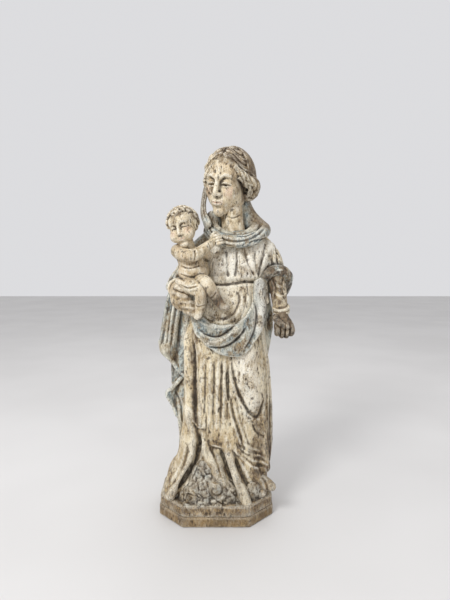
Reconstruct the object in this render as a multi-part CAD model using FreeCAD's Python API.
"""Carved and painted limewood figure of a standing mother with an infant, on an octagonal plinth.

The figure is glued up from carved blocks. A main gown block carries a back block, a side block for the hanging
mantle, an applied front swag, a collar, the head, both sleeves and hands, and the infant. Oak dowels hold the
pieces that are loaded or stand proud. Millimetres, +Z up, the figure faces -Y, and the origin is the centre of the
plinth's underside. Left and right in the names are the figure's own.
"""

import FreeCAD
import Part
import math
import os
from FreeCAD import Vector as V

# Driving dimensions -------------------------------------------------------------------------------------------
PLINTH_WIDTH = 140.0
PLINTH_DEPTH = 110.0
CHAMFER_X = 32.0
CHAMFER_Y = 30.0
BOARD_TOP = 12.2
TIER_TOP = 25.0
TIER_INSET = 1.6
FOOT_PLANE = 50.0
BACK_PLANE = 19.0
SIDE_PLANE = -34.0
SIDE_REBATE_Y = -8.0
LEFT_SHOULDER_PLANE = 57.0
RIGHT_SHOULDER_PLANE = -16.0
SHOULDER_CUT_Z = 262.0
NECK_SEAT = 350.0
FIGURE_TOP = 450.0
DOWEL_R = 4.0
SMALL_DOWEL_R = 2.5
SQUARENESS = 2.3
WAIST = 287.0
GOWN_FOLDS = 13
MANTLE_FOLDS = 11
FOLD_DEPTH = 3.2
BIG = 600.0

# The gown from the ground up: height, centre x, centre y, half width, half depth.
GOWN = [
    (FOOT_PLANE, 4.0, -2.0, 63.0, 42.0),
    (66.0, 7.0, -1.0, 60.0, 37.0),
    (92.0, 11.0, 0.0, 57.5, 34.0),
    (140.0, 11.5, 0.0, 55.0, 34.0),
    (182.0, 10.5, -1.0, 53.0, 36.0),
    (222.0, 10.0, -2.0, 49.0, 36.0),
    (256.0, 14.0, -2.0, 43.0, 32.0),
    (287.0, 21.0, -1.0, 35.0, 27.0),
    (311.0, 24.0, -1.0, 44.0, 27.0),
    (331.0, 27.0, 2.0, 46.0, 24.0),
    (345.0, 25.0, 4.0, 33.0, 20.0),
    (NECK_SEAT, 23.0, 4.0, 21.0, 17.0),
]

# The mantle over the back, on the same plan as the gown.
MANTLE = [
    (FOOT_PLANE, 5.0, 4.0, 56.0, 40.0),
    (90.0, 7.0, 4.0, 53.0, 38.0),
    (150.0, 6.0, 4.0, 55.0, 38.0),
    (215.0, 5.0, 4.0, 60.0, 39.0),
    (262.0, 10.0, 4.0, 59.0, 37.0),
    (300.0, 18.0, 4.0, 58.0, 35.0),
    (328.0, 24.0, 4.0, 50.0, 32.0),
    (346.0, 23.0, 4.0, 33.0, 27.0),
    (356.0, 22.0, 4.0, 20.0, 22.0),
]

# Outlines seen from the front, as (x, z).
SIDE_FALL = [
    (-30.0, 262.0), (-46.0, 286.0), (-57.0, 281.0), (-67.0, 246.0), (-73.0, 212.0), (-67.0, 200.0),
    (-57.0, 190.0), (-57.0, 172.0), (-69.0, 156.0), (-66.0, 142.0), (-57.0, 124.0), (-50.0, 94.0),
    (-50.0, 60.0), (-30.0, 58.0),
]
SWAG = [
    (-26.0, 266.0), (-30.0, 246.0), (-21.0, 223.0), (-4.0, 209.0), (17.0, 204.0), (37.0, 210.0), (51.0, 230.0),
    (57.0, 256.0), (54.0, 290.0), (47.0, 288.0), (46.0, 262.0), (36.0, 246.0), (18.0, 240.0), (2.0, 246.0),
    (-8.0, 258.0), (-17.0, 268.0),
]
SWAG_THICKNESS = 8.0


def ring(z, cx, cy, rx, ry, folds=0, depth=0.0):
    """A closed smooth outline in a horizontal plane, a little squarer than an ellipse, fluted by cloth folds."""
    points = 4 * folds if folds else 12
    found = []
    for k in range(points):
        a = 2 * math.pi * k / points
        c, s = math.cos(a), math.sin(a)
        square = (abs(c) ** SQUARENESS + abs(s) ** SQUARENESS) ** (-1 / SQUARENESS)
        flute = depth * math.cos(folds * a)
        found.append(V(cx + (rx * square + flute) * c, cy + (ry * square + flute) * s, z))
    curve = Part.BSplineCurve()
    curve.interpolate(found, PeriodicFlag=True)
    return Part.Wire([curve.toShape()])


def fold_depth(z):
    """How deep the folds are cut: deepest at the hem, and gone at the waist."""
    return FOLD_DEPTH * max(0.0, (WAIST - z) / (WAIST - FOOT_PLANE))


def tower(stations, folds=0, grow=0.0):
    """A solid through horizontal stations, each widened by grow."""
    wires = [ring(z, cx, cy, rx + grow, ry + grow, folds, fold_depth(z)) for z, cx, cy, rx, ry in stations]
    return Part.makeLoft(wires, True, False)


def limb(start, end, r_start, r_end):
    """A tapered limb with round ends, as one turned solid."""
    a, b = V(*start), V(*end)
    length = (b - a).Length
    slope = (r_start - r_end) / length
    lift = math.sqrt(1 - slope * slope)
    low = V(0, r_start * lift, r_start * slope)
    high = V(0, r_end * lift, length + r_end * slope)
    half = math.asin(slope)
    turn_low = (-math.pi / 2 + half) / 2
    turn_high = (math.pi / 2 + half) / 2
    mid_low = V(0, r_start * math.cos(turn_low), r_start * math.sin(turn_low))
    mid_high = V(0, r_end * math.cos(turn_high), length + r_end * math.sin(turn_high))
    bottom, top = V(0, 0, -r_start), V(0, 0, length + r_end)
    edges = [
        Part.Arc(bottom, mid_low, low).toShape(),
        Part.makeLine(low, high),
        Part.Arc(high, mid_high, top).toShape(),
        Part.makeLine(top, bottom),
    ]
    solid = Part.Face(Part.Wire(edges)).revolve(V(0, 0, 0), V(0, 0, 1), 360)
    solid.Placement = FreeCAD.Placement(a, FreeCAD.Rotation(V(0, 0, 1), b - a))
    return solid


def chain(*joints):
    """Limbs end to end, each joint as (x, y, z, radius)."""
    pairs = zip(joints[:-1], joints[1:])
    return fused([limb(p[:3], q[:3], p[3], q[3]) for p, q in pairs])


def egg(centre, rx, ry, rz):
    """An ellipsoid with its axes along X, Y and Z."""
    grow = FreeCAD.Matrix()
    grow.scale(rx, ry, rz)
    solid = Part.makeSphere(1.0).transformGeometry(grow)
    solid.translate(V(*centre))
    return solid


def slab(outline, y_low, y_high, smooth):
    """A plate in the XZ plane whose closed outline is one smooth curve, or straight from point to point."""
    points = [V(x, y_low, z) for x, z in outline]
    if smooth:
        curve = Part.BSplineCurve()
        curve.interpolate(points, PeriodicFlag=True)
        wire = Part.Wire([curve.toShape()])
    else:
        wire = Part.makePolygon(points + points[:1])
    return Part.Face(wire).extrude(V(0, y_high - y_low, 0))


def octagon(z_low, z_high, inset):
    """The plinth's plan, a rectangle with its corners cut off, between two heights."""
    w, d = PLINTH_WIDTH / 2 - inset, PLINTH_DEPTH / 2 - inset
    cut_x, cut_y = CHAMFER_X - 0.4 * inset, CHAMFER_Y - 0.4 * inset
    right = [(w, d - cut_y), (w, -d + cut_y), (w - cut_x, -d)]
    left = [(-w + cut_x, -d), (-w, -d + cut_y), (-w, d - cut_y)]
    plan = right + left + [(-w + cut_x, d), (w - cut_x, d)]
    corners = [V(x, y, z_low) for x, y in plan]
    wire = Part.makePolygon(corners + corners[:1])
    return Part.Face(wire).extrude(V(0, 0, z_high - z_low))


def block(x=(-BIG, BIG), y=(-BIG, BIG), z=(-BIG, BIG)):
    """Everything between two planes on each axis."""
    return Part.makeBox(x[1] - x[0], y[1] - y[0], z[1] - z[0], V(x[0], y[0], z[0]))


def dowel(start, end, radius):
    """A round peg between two points."""
    a, b = V(*start), V(*end)
    return Part.makeCylinder(radius, (b - a).Length, a, b - a)


def fused(shapes):
    whole = shapes[0]
    for other in shapes[1:]:
        whole = whole.fuse(other)
    return whole


def without(shape, *others):
    """The shape cut back to what it seats on, keeping only its largest solid."""
    for other in others:
        shape = shape.cut(other)
    return max(shape.Solids, key=lambda s: s.Volume)


# The pieces ---------------------------------------------------------------------------------------------------
def make_base_dowels():
    return [dowel((x, 0, 4), (x, 0, 40), DOWEL_R) for x in (-28.0, 34.0)]


def make_base_board():
    return octagon(0, BOARD_TOP, 0)


def make_ground_block():
    """The plinth's upper tier and the rocky ground carved with it, flat where the gown stands on it."""
    tier = octagon(BOARD_TOP, TIER_TOP, TIER_INSET)
    mound = tower(
        [
            (TIER_TOP - 6.0, 0.0, 0.0, 67.0, 50.0),
            (38.0, 1.0, -1.0, 65.0, 46.0),
            (FOOT_PLANE, 4.0, -2.0, 63.0, 42.5),
        ]
    ).common(octagon(BOARD_TOP, FOOT_PLANE, TIER_INSET))
    toe = egg((57, -32, 36), 12.0, 9.0, 7.5)
    return fused([tier, mound, toe])


def make_gown_block():
    """The main block, cut flat where the back, the side and both sleeve blocks are glued on."""
    gown = tower(GOWN, GOWN_FOLDS)
    gown = gown.cut(block(y=(BACK_PLANE, BIG)))
    gown = gown.cut(block(x=(-BIG, SIDE_PLANE), y=(SIDE_REBATE_Y, BIG)))
    gown = gown.cut(block(x=(LEFT_SHOULDER_PLANE, BIG), z=(SHOULDER_CUT_Z, BIG)))
    return gown.cut(block(x=(-BIG, RIGHT_SHOULDER_PLANE), z=(SHOULDER_CUT_Z, BIG)))


def make_back_mantle():
    """The back block, with the mantle hanging from the shoulders to the ground."""
    return tower(MANTLE, MANTLE_FOLDS).common(block(y=(BACK_PLANE, BIG)))


def make_side_mantle():
    """The stepped edge of the mantle hanging beside the gown, under the right arm."""
    return slab(SIDE_FALL, SIDE_REBATE_Y, BACK_PLANE, False).common(block(x=(-BIG, SIDE_PLANE)))


def make_right_sleeve():
    arm = chain((-10, 6, 328, 18), (-36, 4, 300, 18), (-42, -8, 282, 17))
    return arm.common(block(x=(-BIG, RIGHT_SHOULDER_PLANE), y=(-BIG, BACK_PLANE)))


def make_left_sleeve():
    """The left upper arm with the mantle's edge turned back over the elbow."""
    arm = chain((56, 4, 326, 18), (72, 3, 300, 18))
    roll = egg((75, -1, 286), 18, 21, 19)
    return arm.fuse(roll).common(block(x=(LEFT_SHOULDER_PLANE, BIG), y=(-BIG, BACK_PLANE)))


def make_left_forearm():
    """The gathered undersleeve with its cuff, let into the turned-back mantle."""
    sleeve = limb((75, -10, 278), (76, -18, 260), 12, 10)
    cuff = limb((76, -20, 256), (76.5, -21, 252), 11, 11)
    return sleeve.fuse(cuff)


def make_left_hand():
    """The closed left hand, let into the cuff."""
    return fused([egg((81, -30, 234), 13.5, 12, 13), limb((77, -23, 250), (79, -26, 242), 8, 9)])


def make_swag(gown):
    """The mantle drawn across the front and tucked up at both hips."""
    outer = tower(GOWN, 0, SWAG_THICKNESS)
    return without(slab(SWAG, -60, 0, True).common(outer), gown)


def make_collar():
    """The rolled cloth round the neck, the strip of veil beside the face, and the veil behind the neck."""
    shape = FreeCAD.Matrix()
    shape.scale(33, 28, 36)
    roll = Part.makeTorus(1.0, 0.27).transformGeometry(shape)
    roll.rotate(V(0, 0, 0), V(1, 0, 0), 14)
    roll.translate(V(24, -3, 344))
    strip = chain((-12, 6, 402, 5), (-15, 2, 380, 5.5), (-11, -8, 352, 7))
    veil = chain((30, 24, 398, 15), (34, 22, 366, 19), (36, 16, 352, 20))
    return fused([roll, strip, veil])


def make_head():
    """The head with its waved hair and the veil at the back, on a turned neck."""
    skull = egg((16, 4, 414), 32, 35, 36)
    face = egg((8, -13, 396), 24, 24, 31)
    knot = egg((40, 3, 403), 14, 19, 18)
    curl = egg((-12, 0, 405), 7, 12, 12)
    neck = Part.makeCone(18, 15, 46, V(22.6, 0.3, NECK_SEAT - 6), V(-2, -1, 20))
    return fused([skull, face, knot, curl, neck]).common(block(z=(NECK_SEAT, FIGURE_TOP)))


def make_child_body():
    """The infant's head, body and legs, carved as one piece."""
    head = egg((-35, -35, 352), 19.5, 20, 22)
    neck = limb((-33, -33, 336), (-32, -32, 324), 9, 11)
    body = chain((-31, -32, 320, 14), (-29, -32, 300, 15.5), (-28, -34, 287, 16))
    left_leg = chain((-20, -38, 286, 10), (-9, -53, 286, 8.5), (3, -51, 267, 6), (8, -55, 262, 4.5))
    right_leg = chain((-29, -40, 284, 10), (-16, -54, 279, 8), (-18, -51, 258, 5.5), (-20, -57, 253, 4.5))
    return fused([body, neck, head, left_leg, right_leg])


def make_child_arm():
    """The infant's right arm, reaching across to the collar."""
    return chain((-45, -37, 323, 8), (-22, -51, 319, 7.5), (-5, -38, 335, 5.5), (-1, -34, 339, 6.5))


def make_right_hand():
    """The right hand, open under the infant."""
    palm = egg((-42, -24, 269), 15, 21, 15)
    fingers = [limb((-45, -34 - k, 276 - 7 * k), (-28 + k, -44 - k, 270 - 6 * k), 5, 4) for k in range(4)]
    return fused([palm, *fingers])


def build():
    """Every node's solids, with the curved pieces cut back to what they seat on."""
    gown = make_gown_block()
    back = make_back_mantle()
    head = make_head()
    child = make_child_body()
    base_dowels = make_base_dowels()
    neck_dowel = dowel((22, 2, 330), (21, 0, 372), DOWEL_R)
    child_dowel = dowel((-30, -36, 300), (-10, -8, 300), SMALL_DOWEL_R)
    left_arm_dowel = dowel((42, 3, 305), (74, 3, 305), SMALL_DOWEL_R)
    right_arm_dowel = dowel((-32, 4, 312), (2, 4, 312), SMALL_DOWEL_R)
    left_hand_dowel = dowel((76.2, -19, 262), (80, -28, 238), SMALL_DOWEL_R)
    right_hand_dowel = dowel((-41, -2, 276), (-42, -30, 270), SMALL_DOWEL_R)

    right_sleeve = without(make_right_sleeve(), gown, child)
    side = without(make_side_mantle(), right_sleeve)
    right_hand = without(make_right_hand(), child, side, right_sleeve, gown)
    swag = without(make_swag(gown), side, right_hand, right_sleeve, child)
    left_sleeve = without(make_left_sleeve(), swag)
    left_forearm = without(make_left_forearm(), left_sleeve)
    left_hand = without(make_left_hand(), left_forearm, swag)
    collar = without(make_collar(), gown, back, head, left_sleeve, right_sleeve)
    child = without(child, collar, gown)
    child_arm = without(make_child_arm(), child, collar, gown)

    return {
        "base_board": [without(make_base_board(), *base_dowels)],
        "base_dowels": base_dowels,
        "ground_block": [without(make_ground_block(), *base_dowels)],
        "gown_block": [without(gown, neck_dowel, child_dowel, left_arm_dowel, right_arm_dowel)],
        "back_mantle": [without(back, neck_dowel)],
        "side_mantle": [without(side, right_hand_dowel)],
        "front_swag": [swag],
        "collar_and_veil": [without(collar, child_dowel)],
        "head": [without(head, neck_dowel)],
        "neck_dowel": [neck_dowel],
        "left_sleeve": [without(left_sleeve, left_arm_dowel)],
        "left_arm_dowel": [left_arm_dowel],
        "left_forearm": [without(left_forearm, left_hand_dowel)],
        "left_hand": [without(left_hand, left_hand_dowel)],
        "left_hand_dowel": [left_hand_dowel],
        "right_sleeve": [without(right_sleeve, right_arm_dowel, right_hand_dowel)],
        "right_arm_dowel": [right_arm_dowel],
        "right_hand": [without(right_hand, right_hand_dowel)],
        "right_hand_dowel": [right_hand_dowel],
        "child_body": [without(child, child_dowel)],
        "child_arm": [child_arm],
        "child_dowel": [child_dowel],
    }


os.makedirs("parts", exist_ok=True)
for name, solids in build().items():
    Part.makeCompound(solids).exportStep(f"parts/{name}.step")
    volume = sum(s.Volume for s in solids)
    print(f"{name:18s} solids {len(solids)}  volume {volume:9.0f} mm3  valid {all(s.isValid() for s in solids)}")
